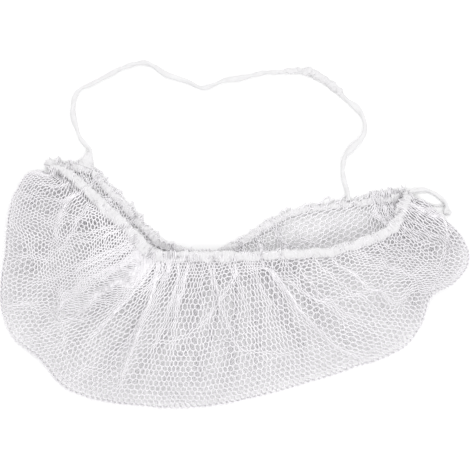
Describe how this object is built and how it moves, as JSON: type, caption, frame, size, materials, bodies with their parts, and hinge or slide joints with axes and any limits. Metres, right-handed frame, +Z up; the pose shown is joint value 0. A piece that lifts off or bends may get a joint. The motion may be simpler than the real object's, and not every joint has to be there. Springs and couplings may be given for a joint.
{
  "type": "beard net",
  "caption": "Folded white honeycomb net pouch with a gathered elastic rim and a limp head loop, worn over the beard to hold loose hairs back.",
  "frame": {"origin": "middle of the box round the pouch and its rim, on the surface that the net lies on", "axes": "+X along the mouth from the head loop's sewn tab towards the small side loop, +Y from the pouch towards the head loop, +Z up"},
  "size_m": [0.2822, 0.2091, 0.0251],
  "materials": {
    "net": "fine knitted nylon net",
    "band": "gathered knitted casing",
    "cord": "rolled elastic"
  },
  "bodies": {
    "root": {"front_net": "net", "back_net": "net", "rim_band": "band", "left_tab": "band", "head_loop_left": "cord", "head_loop_splice": "band", "head_loop_right": "cord", "side_loop": "cord", "side_loop_knot": "cord", "side_loop_strand": "cord"}
  },
  "joints": []
}
